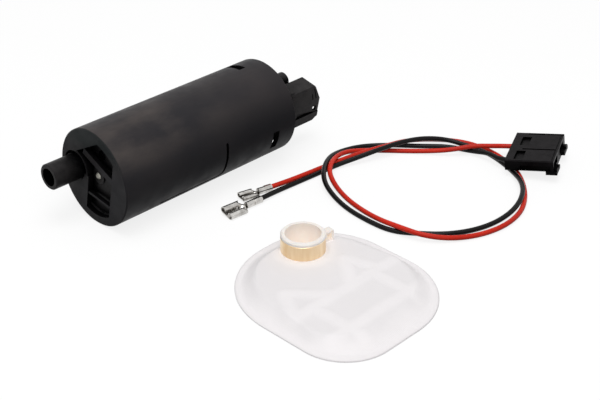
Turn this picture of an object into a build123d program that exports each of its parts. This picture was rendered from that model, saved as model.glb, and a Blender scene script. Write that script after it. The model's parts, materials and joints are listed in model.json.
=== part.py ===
"""Electric in-tank fuel pump in a moulded sleeve, with its intake strainer and its wiring lead.

Millimetres. The origin is on the pump axis at the middle of the sleeve's length. +X runs along
the axis from the intake spigot to the electrical connector, +Z is up, and the table that the
pieces lie on is one sleeve radius below the origin. Pump pieces are drawn from the sleeve's front
rim (x = 0) and before the pump is rolled; the strainer and the lead are drawn on the table.
"""
import os
from math import atan2, cos, degrees, pi, radians, sin, sqrt, tan

from build123d import *

os.makedirs("parts", exist_ok=True)

# Sleeve
SLEEVE_R = 21.5
SLEEVE_LEN = 95.9
SLEEVE_WALL = 2.2
FACE_THICK = 2.5
RIM_CHAMFER = 0.5
ROLL = 12.0
FACE_BORDER = 1.8
STRIP_EDGE = -11.3
APRON_EDGE = 3.2
HOOD_ANGLE = 49.0
HOOD_DISTANCE = 12.8
COLLAR_R = 8.0
COLLAR_WALL = 0.95
RIB_WIDTH = 1.1
WIDE_RIB_WIDTH = 2.9
RIB_SET_BACK = 0.3
SLOT_X = 82.3
SLOT_WIDTH = 3.7
SLOT_SPAN = 25.0
SLOT_ANGLE = 66.0
SLIT_WIDTH = 1.3
SLIT_X = 54.9
SLIT_END_X = 21.0
SLIT_FROM = 161.0
SLIT_TO = 208.0
SLIT_CORNER_R = 3.0
LUG_HEIGHT = 0.8
LUG_LEN = 1.6
LUG_SPAN = 12.0

# Motor can
CAN_GAP = 0.3
CAN_WALL = 1.2
CAN_SET_BACK = 2.5
CAN_LEN = 78.0
CRIMP_THICK = 1.0
CRIMP_REACH = 2.2
ISOLATOR_WALL = 0.8

# Intake cover with its spigot
SPIGOT_R = 5.6
SPIGOT_BORE_R = 3.9
SPIGOT_LEN = 13.6
SPIGOT_ROOT_R = 5.85
SPIGOT_ROOT_LEN = 0.5
SPIGOT_INSET = 7.0
SPIGOT_ANGLE = -7.0
COVER_THICK = 6.0
NOSE_LEN = 2.0
PIN_R = 1.5
PIN_LEN = 7.8
PIN_PROUD = 1.0

# Pump stage
CASING_WALL = 2.1
IMPELLER_THICK = 3.5
VANE_COUNT = 31
VANE_DEPTH = 1.25
VANE_LEN = 2.6
CHANNEL_R = 1.5
CASING_THICK = 8.5
CASING_HUB_R = 6.5
CASING_HUB_LEN = 2.5

# Rotor
SHAFT_R = 2.0
SHAFT_LEN = 66.3
BUSH_WALL = 2.0
BUSH_LEN = 6.0
AIR_GAP = 0.8
CORE_LEN = 26.0
CORE_X = 30.0
CORE_SLOTS = 8
END_TURN_LEN = 4.4
COMMUTATOR_STEP = 1.9
COMMUTATOR_X = 62.0
COMMUTATOR_HUB_LEN = 4.0
SEGMENT_LEN = 2.5

# Magnets
MAGNET_THICK = 5.4
MAGNET_LEN = 35.0
MAGNET_SPAN = 130.0

# End cover, brushes and valves
END_COVER_THICK = 12.0
BRUSH_WIDTH = 4.6
BRUSH_DEPTH = 4.4
BRUSH_LEN = 10.4
BRUSH_OFFSET = 7.1
BRUSH_TRAVEL = 2.5
OUTLET_R = 3.7
OUTLET_BORE_R = 2.3
OUTLET_TIP_X = 111.3
OUTLET_Y = 2.6
OUTLET_Z = 6.5
OUTLET_ROOT_R = 4.6
CHECK_R = 2.7
CHECK_LEN = 6.0
CHECK_TRAVEL = 3.0
RELIEF_BALL_R = 2.0
RELIEF_Y = 2.8
RELIEF_Z = -10.6
RELIEF_TRAVEL = 1.2
CHOKE_R = 2.2
CHOKE_LEN = 7.5
CHOKE_INSET = 4.5
CHOKE_ANGLE = 152.0

# Electrical connector on the end cover
BLOCK_Y = -10.4
BLOCK_WIDTH = 9.2
BLOCK_Z = 2.3
BLOCK_HEIGHT = 19.8
BLOCK_TIP_X = 117.6
BLOCK_BEVEL_X = 113.1
BLOCK_BEVEL_DROP = 8.0
BLOCK_CHIN_X = 113.2
BLOCK_CHIN_RISE = 2.0
BLOCK_WALL = 1.2
BLOCK_STEP_X = 100.6
BLOCK_STEP = 0.5
BLOCK_PAD = 0.3
BLOCK_DEPTH = 18.0
GROOVE_Z = -2.5
BLADE_WIDTH = 6.3
SMALL_BLADE_WIDTH = 4.8
BLADE_THICK = 0.8
BLADE_TIP_GAP = 4.6

# Strainer
BAG_LEN = 71.6
BAG_WIDTH = 80.6
BAG_X = 32.5
BAG_Y = -104.3
BAG_CORNERS = (21.0, 33.0, 30.0, 38.0)
BAG_HEIGHT = 4.8
BAG_RIM = 3.0
BAG_RIM_THICK = 0.5
FLEECE_THICK = 0.5
GRID_RIB = 1.2
GRID_PLATE = 1.0
NECK_X = 39.8
NECK_INSET = 16.9
NECK_WALL = 1.2
NECK_LIP = 1.3
BAND_R = 9.05
BAND_WALL = 0.55
BAND_HEIGHT = 6.3
BAND_BASE_Z = 5.0
CATCH_WIDTH = 3.2
CATCH_REACH = 4.6
CATCH_HEIGHT = 4.4
CATCH_OFFSET = 12.3
CATCH_ANGLE = -6.5

# Lead
WIRE_R = 1.1
PLUG_LEN = 21.5
PLUG_WIDTH = 28.4
PLUG_HEIGHT = 5.2
PLUG_X = 168.6
PLUG_Y = -100.5
PLUG_TILT = 8.0
PLUG_TURN = -65.5
PLUG_PITCH = 14.0
PLUG_CELL = 8.6
PLUG_SHIFT = -1.6
PLUG_FLOOR = 0.6
PLUG_ROOF = 1.3
PLUG_GROOVE = 1.0
PLUG_RIM = 1.1
PLUG_BASE_Z = 2.7
LOCK_THICK = 1.7
LOCK_EAR = 1.2
LOCK_EAR_WIDTH = 2.6
LOCK_EAR_HEIGHT = 2.4
RECEPTACLE_LEN = 19.0
RECEPTACLE_WIDTH = 7.6
RECEPTACLE_HEIGHT = 3.0
SMALL_RECEPTACLE_LEN = 15.5
SMALL_RECEPTACLE_WIDTH = 6.0
BLACK_ROLL = 15.0
RED_ROLL = 5.0
SHEET_THICK = 0.4

# Clearances
PRESS_GAP = 0.02
FIT_GAP = 0.1
SEAT_GAP = 0.05
RUN_GAP = 0.1
SHAFT_GAP = 0.05
VALVE_GAP = 0.1
PASS_GAP = 0.2
CUT = 1.0

# Places worked out from the sizes above
sleeve_bore = SLEEVE_R - SLEEVE_WALL
window_r = sleeve_bore - FACE_BORDER
can_r = sleeve_bore - CAN_GAP
can_bore = can_r - CAN_WALL
can_x = FACE_THICK + CAN_SET_BACK
can_end = can_x + CAN_LEN
cover_r = can_bore - FIT_GAP
impeller_r = cover_r - CASING_WALL
core_r = can_bore - FIT_GAP - MAGNET_THICK - AIR_GAP
choke_offset = can_bore - CHOKE_INSET
commutator_r = core_r - COMMUTATOR_STEP
core_slot_in = core_r * 0.53
core_slot_out = core_r * 0.887
core_slot_wide = core_r * 0.278
nose_r = can_r - CRIMP_REACH - FIT_GAP
cover_front = can_x + CRIMP_THICK
nose_front = can_x - NOSE_LEN
cover_back = cover_front + COVER_THICK
casing_back = cover_back + CASING_THICK
impeller_x = cover_back + RUN_GAP
pocket_back = impeller_x + IMPELLER_THICK + RUN_GAP
spigot_offset = can_r - SPIGOT_INSET
spigot_y = spigot_offset * cos(radians(SPIGOT_ANGLE))
spigot_z = spigot_offset * sin(radians(SPIGOT_ANGLE))
pin_x = nose_front - PIN_PROUD
pin_end = pin_x + PIN_LEN
shaft_x = pin_end + RUN_GAP
bush_r = SHAFT_R + SHAFT_GAP + BUSH_WALL
bush_x = casing_back + CASING_HUB_LEN - BUSH_LEN
segment_x = COMMUTATOR_X + COMMUTATOR_HUB_LEN
segment_back = segment_x + SEGMENT_LEN
end_front = can_end - CRIMP_THICK - END_COVER_THICK
end_back = can_end - CRIMP_THICK
end_nose = can_end + CRIMP_THICK + FIT_GAP
brush_x = segment_back + RUN_GAP
brush_back = brush_x + BRUSH_LEN
brush_bottom = end_back + CRIMP_THICK / 2
check_bore = CHECK_R + VALVE_GAP
check_seat_x = end_front + FIT_GAP * 2
check_x = check_seat_x + 3.0
check_bottom = end_nose + 6.0
relief_bore = RELIEF_BALL_R + VALVE_GAP
relief_seat_r = 1.2
relief_seat_x = end_front + 3.0
relief_x = relief_seat_x + sqrt(RELIEF_BALL_R**2 - relief_seat_r**2) + SEAT_GAP
blade_tip = BLOCK_TIP_X - BLADE_TIP_GAP
blade_x = end_front + END_COVER_THICK * 0.6
block_cell = (BLOCK_HEIGHT - 3 * BLOCK_WALL) / 2
cell_z = (BLOCK_Z + (block_cell + BLOCK_WALL) / 2, BLOCK_Z - (block_cell + BLOCK_WALL) / 2)
blade_widths = (BLADE_WIDTH, SMALL_BLADE_WIDTH)
crimp_r = WIRE_R + SHEET_THICK + FIT_GAP
contact_z = PLUG_FLOOR - PLUG_HEIGHT / 2 + SEAT_GAP
plug_rows = [(side, side * PLUG_PITCH / 2 + PLUG_SHIFT) for side in (-1, 1)]
neck_y = BAG_Y + BAG_WIDTH / 2 - NECK_INSET

PUMP = Pos(-SLEEVE_LEN / 2, 0, 0) * Rot(ROLL, 0, 0)
TABLE = Pos(-SLEEVE_LEN / 2, 0, -SLEEVE_R)
UPRIGHT = (Align.CENTER, Align.CENTER, Align.MIN)


def disc(r, x0, x1, y=0.0, z=0.0):
    """A cylinder along X."""
    return extrude(Plane.YZ.offset(x0) * Pos(y, z) * Circle(r), x1 - x0)


def tube(r_out, r_in, x0, x1, y=0.0, z=0.0):
    """A hollow cylinder along X."""
    return disc(r_out, x0, x1, y, z) - disc(r_in, x0 - CUT, x1 + CUT, y, z)


def bar(wide, high, x0, x1, y=0.0, z=0.0):
    """A rectangular bar along X."""
    return extrude(Plane.YZ.offset(x0) * Pos(y, z) * Rectangle(wide, high), x1 - x0)


def turned(points):
    """A solid turned about the pump axis from (x, r) points."""
    return revolve(make_face(Plane.XZ * Polyline(*points, close=True)), Axis.X)


def sector(r_out, r_in, x0, x1, middle, span):
    """Part of a ring about X, span degrees wide round the angle middle."""
    reach = 2 * r_out
    half = radians(span / 2)
    wedge = Polygon((0, 0), (reach * cos(half), -reach * sin(half)), (reach, -reach * sin(half)),
                    (reach, reach * sin(half)), (reach * cos(half), reach * sin(half)), align=None)
    ring = (Circle(r_out) - Circle(r_in)) & (Rot(0, 0, middle) * wedge)
    return extrude(Plane.YZ.offset(x0) * ring, x1 - x0)


def radial_plane(angle, x, r):
    """A plane whose normal points out from the pump axis and whose x runs along the pump."""
    a = radians(angle)
    return Plane(origin=(x, r * cos(a), r * sin(a)), x_dir=(1, 0, 0), z_dir=(0, cos(a), sin(a)))


def outline_at(angle, distance):
    """The half of the front face beyond a straight edge square to the given angle."""
    reach = 3 * SLEEVE_R
    return Rot(0, 0, angle) * Pos(distance + reach / 2, 0) * Rectangle(reach, reach)


def face_window():
    """The opening in the sleeve's front face, round the spigot's collar and the apron."""
    collar = Pos(spigot_y, spigot_z) * Circle(COLLAR_R)
    reach = 3 * SLEEVE_R
    apron = Pos(APRON_EDGE + reach / 2, spigot_z - reach / 2) * Rectangle(reach, reach)
    window = Circle(window_r) - outline_at(180, -STRIP_EDGE) - outline_at(HOOD_ANGLE, HOOD_DISTANCE)
    return window - apron - collar


def face_rib(start, end, wide):
    """A thin rib across the window, from one point of it to another."""
    mid = ((start[0] + end[0]) / 2, (start[1] + end[1]) / 2)
    length = sqrt((end[0] - start[0]) ** 2 + (end[1] - start[1]) ** 2) + 1.0
    turn = degrees(atan2(end[1] - start[1], end[0] - start[0]))
    shape = Pos(*mid) * Rot(0, 0, turn) * Rectangle(length, wide)
    return extrude(Plane.YZ.offset(RIB_SET_BACK) * shape, FACE_THICK - 2 * RIB_SET_BACK)


def slit_cutter():
    """The bent slit that frees the sleeve's flexible tongue: one leg round the sleeve, one along it."""
    depth = SLEEVE_WALL + 2 * CUT
    width, bend = SLIT_WIDTH, SLIT_CORNER_R
    turn_x = SLIT_X - bend
    leg = Pos((SLIT_END_X + turn_x) / 2, 0) * Rectangle(turn_x - SLIT_END_X, width)
    tip = Pos(SLIT_END_X, 0) * Circle(width / 2)
    ring = Circle(bend + width / 2) - Circle(bend - width / 2)
    corner = Pos(turn_x, bend) * (ring & (Pos(bend, -bend) * Rectangle(2 * bend, 2 * bend)))
    stub = Pos(SLIT_X, 1.5 * bend) * Rectangle(width, bend)
    base = radial_plane(SLIT_TO, 0, sleeve_bore - CUT)
    cutter = extrude(base * (leg + tip + corner + stub), depth)
    until = SLIT_TO - degrees(1.5 * bend / SLEEVE_R)
    cutter += sector(SLEEVE_R + CUT, sleeve_bore - CUT, SLIT_X - width / 2, SLIT_X + width / 2,
                     (SLIT_FROM + until) / 2, until - SLIT_FROM)
    return cutter + extrude(radial_plane(SLIT_FROM, SLIT_X, sleeve_bore - CUT) * Circle(width / 2), depth)


def make_sleeve():
    rim = RIM_CHAMFER
    lead_in = SLEEVE_WALL / 3
    body = turned([(0, 0), (0, SLEEVE_R - rim), (rim, SLEEVE_R), (SLEEVE_LEN - rim * 0.4, SLEEVE_R),
                   (SLEEVE_LEN, SLEEVE_R - rim * 0.4), (SLEEVE_LEN, sleeve_bore + lead_in),
                   (SLEEVE_LEN - 2 * lead_in, sleeve_bore), (FACE_THICK, sleeve_bore), (FACE_THICK, 0)])
    body -= extrude(Plane.YZ.offset(-CUT) * face_window(), FACE_THICK + 2 * CUT)
    body -= disc(SPIGOT_ROOT_R + PASS_GAP, -CUT, FACE_THICK + CUT, spigot_y, spigot_z)
    relief = Circle(COLLAR_R - COLLAR_WALL) & (Pos(0, COLLAR_R) * Rectangle(2 * COLLAR_R, 2 * COLLAR_R))
    body -= extrude(Plane.YZ.offset(-CUT) * Pos(spigot_y, spigot_z) * relief, FACE_THICK + 2 * CUT)
    body += face_rib((APRON_EDGE, -0.54 * window_r), (STRIP_EDGE, -0.485 * window_r), RIB_WIDTH)
    body += face_rib((0.42 * window_r, 0.51 * window_r), (STRIP_EDGE, 0.265 * window_r), WIDE_RIB_WIDTH)
    for copy in range(3):
        angle = SLOT_ANGLE + 120 * copy
        body -= sector(SLEEVE_R + CUT, sleeve_bore - CUT, SLOT_X, SLOT_X + SLOT_WIDTH, angle, SLOT_SPAN)
        body += sector(sleeve_bore + CUT, sleeve_bore - LUG_HEIGHT, can_end + 2 * FIT_GAP,
                       can_end + 2 * FIT_GAP + LUG_LEN, angle + 60, LUG_SPAN)
    return body - slit_cutter()


def make_isolator():
    return tube(can_r, can_r - ISOLATOR_WALL, FACE_THICK, can_x)


def make_can():
    bend = CRIMP_THICK
    lip = can_r - CRIMP_REACH
    return turned([(can_x, lip), (can_x, can_r - bend), (can_x + bend, can_r), (can_end - bend, can_r),
                   (can_end, can_r - bend), (can_end, lip), (end_back, lip), (end_back, can_bore),
                   (cover_front, can_bore), (cover_front, lip)])


def seal_groove(x):
    return tube(cover_r + CUT, cover_r - 1.7, x - 1.1, x + 1.1)


def make_seal(x):
    cord_r = 0.8
    middle = can_bore - SEAT_GAP - cord_r
    ring = [radians(22.5 + 45 * k) for k in range(8)]
    return turned([(x + cord_r * cos(a), middle + cord_r * sin(a)) for a in ring])


def channel(x):
    """The open side channel of the pump stage, most of the way round."""
    middle = impeller_r - 0.4 - VANE_LEN / 2
    half, deep = VANE_LEN / 2, CHANNEL_R
    ring = turned([(x - deep, middle - half / 2), (x - deep, middle + half / 2), (x, middle + half),
                   (x + deep, middle + half / 2), (x + deep, middle - half / 2), (x, middle - half)])
    stripper = bar(2 * CHANNEL_R + CUT, 6.0, x - CHANNEL_R - CUT, x + CHANNEL_R + CUT,
                   -middle * cos(radians(40)), -middle * sin(radians(40)))
    return ring - stripper


def make_cover():
    body = disc(cover_r, cover_front + SEAT_GAP, cover_back) + disc(nose_r, nose_front, cover_front + CUT)
    body += disc(2.4 * PIN_R, nose_front - PIN_PROUD / 2, nose_front + CUT)
    tip = -SPIGOT_LEN
    spigot = disc(SPIGOT_R, tip, 0, spigot_y, spigot_z)
    rim = spigot.edges().filter_by(GeomType.CIRCLE).sort_by(Axis.X)[0]
    body += chamfer(rim, 0.4) + disc(SPIGOT_ROOT_R, -SPIGOT_ROOT_LEN, nose_front, spigot_y, spigot_z)
    body -= seal_groove(cover_front + COVER_THICK / 2)
    body -= channel(cover_back)
    body -= disc(SPIGOT_BORE_R, tip - CUT, cover_back + CUT, spigot_y, spigot_z)
    body -= disc(PIN_R + PRESS_GAP, pin_x - CUT, cover_back + CUT)
    body -= disc(SHAFT_R + PASS_GAP, pin_end, cover_back + CUT)
    for copy in range(3):
        a = radians(95 + 55 * copy)
        y, z = 0.66 * nose_r * cos(a), 0.66 * nose_r * sin(a)
        body -= disc(2.2, nose_front - CUT, nose_front + 1.2, y, z)
    return body


def make_pin():
    pin = disc(PIN_R, pin_x, pin_end)
    crown = pin.edges().filter_by(GeomType.CIRCLE).sort_by(Axis.X)[0]
    return chamfer(crown, PIN_R * 0.4)


def make_impeller():
    body = disc(impeller_r, impeller_x, impeller_x + IMPELLER_THICK)
    body -= disc(SHAFT_R + PRESS_GAP, impeller_x - CUT, pocket_back)
    body -= tube(impeller_r * 0.6, SHAFT_R + 2.5, impeller_x - CUT, impeller_x + 0.4)
    middle = impeller_r - 0.4 - VANE_LEN / 2
    gap = 2 * pi * middle / VANE_COUNT * 0.6
    for copy in range(VANE_COUNT):
        turn = Rot(360 * copy / VANE_COUNT, 0, 0)
        body -= turn * bar(VANE_LEN, gap, impeller_x - CUT, impeller_x + VANE_DEPTH, middle)
        body -= turn * bar(VANE_LEN, gap, impeller_x + IMPELLER_THICK - VANE_DEPTH,
                           impeller_x + IMPELLER_THICK + CUT, middle)
    return body


def make_casing():
    body = disc(cover_r, cover_back, casing_back) + disc(CASING_HUB_R, casing_back - CUT,
                                                         casing_back + CASING_HUB_LEN)
    body -= disc(impeller_r + 3 * RUN_GAP, cover_back - CUT, pocket_back)
    body -= channel(pocket_back)
    body -= disc(bush_r + PRESS_GAP, bush_x, casing_back + CASING_HUB_LEN + CUT)
    body -= disc(SHAFT_R + PASS_GAP, pocket_back - CUT, bush_x + CUT)
    a = radians(120)
    port = impeller_r - 0.4 - VANE_LEN / 2
    return body - disc(2.3, pocket_back - CUT, casing_back + CUT, port * cos(a), port * sin(a))


def make_bush(x, length):
    return tube(bush_r, SHAFT_R + SHAFT_GAP, x, x + length)


def make_shaft():
    return disc(SHAFT_R, shaft_x, shaft_x + SHAFT_LEN)


def slot_angles(count):
    return [360 * copy / count for copy in range(count)]


def make_core():
    body = disc(core_r, CORE_X, CORE_X + CORE_LEN) - disc(SHAFT_R + PRESS_GAP, CORE_X - CUT, CORE_X + CORE_LEN + CUT)
    for angle in slot_angles(CORE_SLOTS):
        turn = Rot(angle, 0, 0)
        body -= turn * bar(core_slot_out - core_slot_in, core_slot_wide, CORE_X - CUT, CORE_X + CORE_LEN + CUT,
                           (core_slot_in + core_slot_out) / 2)
        body -= turn * bar(3.0, 1.3, CORE_X - CUT, CORE_X + CORE_LEN + CUT, core_r)
    return body


def make_windings():
    """Slot fillings and the two domed ends of the wound armature, as one wound mass."""
    gap = SEAT_GAP
    low = SHAFT_R + 2.2
    high = core_r - 0.6
    front = CORE_X - gap
    back = CORE_X + CORE_LEN + gap
    crown = 1.2
    body = turned([(front, low), (front, high), (front - END_TURN_LEN + crown, high),
                   (front - END_TURN_LEN, high - crown), (front - END_TURN_LEN, low)])
    body += turned([(back, low), (back, high), (back + END_TURN_LEN - crown, high),
                    (back + END_TURN_LEN, high - crown), (back + END_TURN_LEN, low)])
    for angle in slot_angles(CORE_SLOTS):
        body += Rot(angle, 0, 0) * bar(core_slot_out - core_slot_in - 4 * gap, core_slot_wide - 4 * gap,
                                       front - CUT, back + CUT, (core_slot_in + core_slot_out) / 2)
    return body


def make_commutator_hub():
    collar = tube(commutator_r, SHAFT_R + PRESS_GAP, COMMUTATOR_X, segment_x)
    return collar + tube(SHAFT_R + 1.2, SHAFT_R + PRESS_GAP, segment_x - CUT, segment_back - 0.4)


def make_segments():
    """The eight copper bars of the flat commutator, as a group of separate solids."""
    span = 360 / CORE_SLOTS - 5
    bars = [sector(commutator_r, SHAFT_R + 1.6, segment_x, segment_back, angle, span)
            for angle in slot_angles(CORE_SLOTS)]
    return Compound(children=bars)


def make_magnet(angle):
    outer = can_bore - FIT_GAP
    return sector(outer, outer - MAGNET_THICK, CORE_X - 4, CORE_X - 4 + MAGNET_LEN, angle, MAGNET_SPAN)


def make_clip(angle):
    """A sprung clip that spreads the two magnets against the can."""
    outer = can_bore - FIT_GAP
    span = 180 - MAGNET_SPAN - 1.0
    leg = 0.7
    body = sector(outer, outer - leg, CORE_X, CORE_X + MAGNET_LEN * 0.7, angle, span)
    for side in (-1, 1):
        edge = angle + side * (span / 2 - 1.5)
        body += sector(outer, outer - MAGNET_THICK * 0.7, CORE_X, CORE_X + MAGNET_LEN * 0.7, edge, 3.0)
    return body


def make_choke(side):
    a = radians(side * CHOKE_ANGLE)
    y, z = choke_offset * cos(a), choke_offset * sin(a)
    end = end_front - SEAT_GAP
    rod = disc(CHOKE_R * 0.6, end - CHOKE_LEN, end, y, z)
    return rod + disc(CHOKE_R, end - CHOKE_LEN + 1.0, end - 1.0, y, z)


def side_cut(points, y, width):
    """A cutter drawn by (x, z) points on a plane along the pump, width wide about y."""
    return Pos(0, y, 0) * extrude(Plane.XZ * Polygon(*points, align=None), width / 2, both=True)


def line_cut(start, end, wide, y, deep):
    """A straight groove between two (x, z) points in a face that looks along Y."""
    mid = ((start[0] + end[0]) / 2, (start[1] + end[1]) / 2)
    turn = degrees(atan2(end[1] - start[1], end[0] - start[0]))
    length = sqrt((end[0] - start[0]) ** 2 + (end[1] - start[1]) ** 2)
    return Pos(mid[0], y, mid[1]) * Rot(0, -turn, 0) * Box(length, 2 * deep, wide)


def block_solid():
    """The outside of the electrical connector on the end cover, before its cells are cut."""
    start = can_end + 2 * FIT_GAP
    root = bar(BLOCK_WIDTH + 2 * BLOCK_STEP, BLOCK_HEIGHT + 2 * BLOCK_STEP, start, BLOCK_STEP_X,
               BLOCK_Y, BLOCK_Z)
    root &= disc(sleeve_bore - 2 * CAN_GAP, start - CUT, BLOCK_STEP_X + CUT)
    tower = bar(BLOCK_WIDTH, BLOCK_HEIGHT, start, BLOCK_TIP_X, BLOCK_Y, BLOCK_Z)
    tower = chamfer(tower.edges().filter_by(Axis.X), 0.4)
    near_face = BLOCK_Y - BLOCK_WIDTH / 2
    top = BLOCK_Z + BLOCK_HEIGHT / 2
    low = BLOCK_Z - BLOCK_HEIGHT / 2
    band_top = GROOVE_Z - 0.2
    tower += bar(2 * BLOCK_PAD, band_top - low - 0.6, BLOCK_STEP_X, BLOCK_TIP_X, near_face,
                 (band_top + low + 0.6) / 2)
    tower &= disc(sleeve_bore - 2 * CAN_GAP + BLOCK_STEP / 2, start - CUT, BLOCK_TIP_X + CUT)
    high = top + CUT / 4
    tower -= side_cut([(BLOCK_BEVEL_X, high), (BLOCK_TIP_X + CUT, high), (BLOCK_TIP_X + CUT, top - BLOCK_BEVEL_DROP),
                       (BLOCK_TIP_X, top - BLOCK_BEVEL_DROP)], BLOCK_Y, 2 * BLOCK_WIDTH)
    deep = low - CUT / 4
    tower -= side_cut([(BLOCK_CHIN_X, deep), (BLOCK_TIP_X + CUT, deep), (BLOCK_TIP_X + CUT, low + BLOCK_CHIN_RISE),
                       (BLOCK_TIP_X - 0.6, low + BLOCK_CHIN_RISE)], BLOCK_Y, 2 * BLOCK_WIDTH)
    return root + tower


def block_marks():
    """The grooves and the small hole in the connector's near side, as one cutter."""
    near_face = BLOCK_Y - BLOCK_WIDTH / 2
    top = BLOCK_Z + BLOCK_HEIGHT / 2
    deep = BLOCK_WALL * 0.5
    groove_end = BLOCK_BEVEL_X + 1.2
    marks = side_cut([(BLOCK_STEP_X + 3.0, GROOVE_Z - 0.2), (groove_end, GROOVE_Z - 0.2),
                      (groove_end, GROOVE_Z + 0.4), (BLOCK_STEP_X + 3.0, GROOVE_Z + 2.6)], near_face, 2 * deep)
    marks += line_cut((BLOCK_BEVEL_X - 0.3, top - 1.1), (BLOCK_BEVEL_X + 2.0, top - 7.3), 0.5, near_face, deep)
    marks += line_cut((BLOCK_BEVEL_X - 1.3, top - 3.7), (BLOCK_BEVEL_X - 0.2, top - 7.1), 0.5, near_face, deep)
    hole = Pos(groove_end + 0.6, near_face, GROOVE_Z + 1.95) * Box(2.3, 2 * BLOCK_WALL + CUT, 2.4)
    return marks + hole


def make_end_cover():
    body = disc(cover_r, end_front, end_back - SEAT_GAP) + disc(nose_r, end_back - CUT, end_nose)
    body += disc(OUTLET_ROOT_R, end_nose - CUT, check_bottom + 1.5, OUTLET_Y, OUTLET_Z)
    spigot = disc(OUTLET_R, end_nose - CUT, OUTLET_TIP_X, OUTLET_Y, OUTLET_Z)
    body += chamfer(spigot.edges().filter_by(GeomType.CIRCLE).sort_by(Axis.X)[-1], 0.6)
    body += block_solid()
    body -= seal_groove(end_front + END_COVER_THICK * 0.6)
    for side in (-1, 1):
        body -= bar(BRUSH_WIDTH + 2 * FIT_GAP, BRUSH_DEPTH + 2 * FIT_GAP, end_front - CUT, brush_bottom,
                    side * BRUSH_OFFSET)
    body -= disc(bush_r + PRESS_GAP, end_front - CUT, end_front + BUSH_LEN)
    body -= disc(SHAFT_R + PASS_GAP, end_front, end_front + BUSH_LEN + 2.5)
    body -= disc(check_bore, end_front - CUT, check_bottom, OUTLET_Y, OUTLET_Z)
    body -= disc(OUTLET_BORE_R, check_bottom - CUT, OUTLET_TIP_X + CUT, OUTLET_Y, OUTLET_Z)
    body -= disc(relief_seat_r, end_front - CUT, relief_seat_x + CUT, RELIEF_Y, RELIEF_Z)
    body -= disc(relief_bore, relief_seat_x, end_nose + CUT, RELIEF_Y, RELIEF_Z)
    for z, wide in zip(cell_z, blade_widths):
        body -= bar(BLOCK_WIDTH - 2 * BLOCK_WALL, block_cell, BLOCK_TIP_X - BLOCK_DEPTH, BLOCK_TIP_X + CUT,
                    BLOCK_Y, z)
        body -= bar(BLADE_THICK + 2 * PRESS_GAP, wide + 2 * PRESS_GAP, blade_x,
                    BLOCK_TIP_X - BLOCK_DEPTH + CUT, BLOCK_Y, z)
    return body - block_marks()


def make_blades():
    """The two male blades of the pump's connector, as a group of separate solids."""
    blades = []
    for z, wide in zip(cell_z, blade_widths):
        blade = bar(BLADE_THICK, wide, blade_x, blade_tip, BLOCK_Y, z)
        tip = blade.edges().filter_by(Axis.Y).group_by(Axis.X)[-1]
        blades.append(chamfer(tip, 1.0))
    return Compound(children=blades)


def make_brush(side):
    return bar(BRUSH_WIDTH, BRUSH_DEPTH, brush_x, brush_back, side * BRUSH_OFFSET)


def make_brush_spring(side):
    return tube(1.9, 1.4, brush_back, brush_bottom, side * BRUSH_OFFSET)


def make_check_seat():
    return tube(check_bore - PRESS_GAP, 1.6, check_seat_x, check_x, OUTLET_Y, OUTLET_Z)


def make_check_valve():
    gap = SEAT_GAP
    body = disc(CHECK_R, check_x + gap, check_x + gap + CHECK_LEN, OUTLET_Y, OUTLET_Z)
    for copy in range(3):
        a = radians(120 * copy)
        body -= disc(0.8, check_x, check_x + CHECK_LEN + CUT, OUTLET_Y + CHECK_R * cos(a), OUTLET_Z + CHECK_R * sin(a))
    return body


def make_check_spring():
    return tube(1.8, 1.35, check_x + SEAT_GAP + CHECK_LEN, check_bottom, OUTLET_Y, OUTLET_Z)


def make_relief_ball():
    return Pos(relief_x, RELIEF_Y, RELIEF_Z) * Sphere(RELIEF_BALL_R)


def make_relief_spring():
    inner = RELIEF_BALL_R * 0.7
    start = relief_x + sqrt(RELIEF_BALL_R**2 - inner**2) + SEAT_GAP
    return tube(inner + 0.4, inner, start, end_back - CRIMP_THICK, RELIEF_Y, RELIEF_Z)


def make_relief_plug():
    return tube(relief_bore - PRESS_GAP, 0.9, end_back - CRIMP_THICK, end_nose - CRIMP_THICK / 2, RELIEF_Y, RELIEF_Z)


# The grid's ribs and the corners of its plate, as shares of the strainer's length and width
GRID_RIBS = [
    ((-0.250, -0.50), (-0.250, -0.081)), ((0.211, -0.50), (0.211, -0.081)), ((-0.50, -0.081), (0.50, -0.081)),
    ((-0.50, -0.309), (0.50, -0.309)), ((-0.391, -0.081), (-0.270, 0.091)), ((-0.270, 0.091), (-0.077, -0.081)),
    ((0.049, -0.081), (0.203, 0.091)), ((0.203, 0.091), (0.272, -0.081)),
]
GRID_PLATE_CORNERS = [
    (-0.265, 0.264), (-0.265, 0.084), (-0.077, -0.077), (0.049, -0.077), (0.203, 0.091), (0.203, 0.202),
]


def bag_outline(inset=0.0):
    """The strainer's outline, whose four corners have radii of their own, or one set inside it."""
    outline = Rectangle(BAG_LEN - 2 * inset, BAG_WIDTH - 2 * inset)
    for corner, r in zip(((-1, -1), (1, -1), (1, 1), (-1, 1)), BAG_CORNERS):
        sharp = outline.vertices().sort_by(lambda v: v.X * corner[0] + v.Y * corner[1])[-1]
        outline = fillet(sharp, r - inset)
    return outline


def bag_dome(inset, base, height):
    """The pillowed body of the strainer: a low frustum with its top edge rounded off."""
    slope = 1.6 * height
    low = Pos(0, 0, base) * bag_outline(inset)
    mid = Pos(0, 0, base + 0.62 * height) * bag_outline(inset + 0.42 * slope)
    top = Pos(0, 0, base + height) * bag_outline(inset + slope)
    return loft([low, mid, top], ruled=True)


def make_lower_fleece():
    return Pos(BAG_X, BAG_Y, 0) * extrude(bag_outline(), BAG_RIM_THICK)


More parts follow.
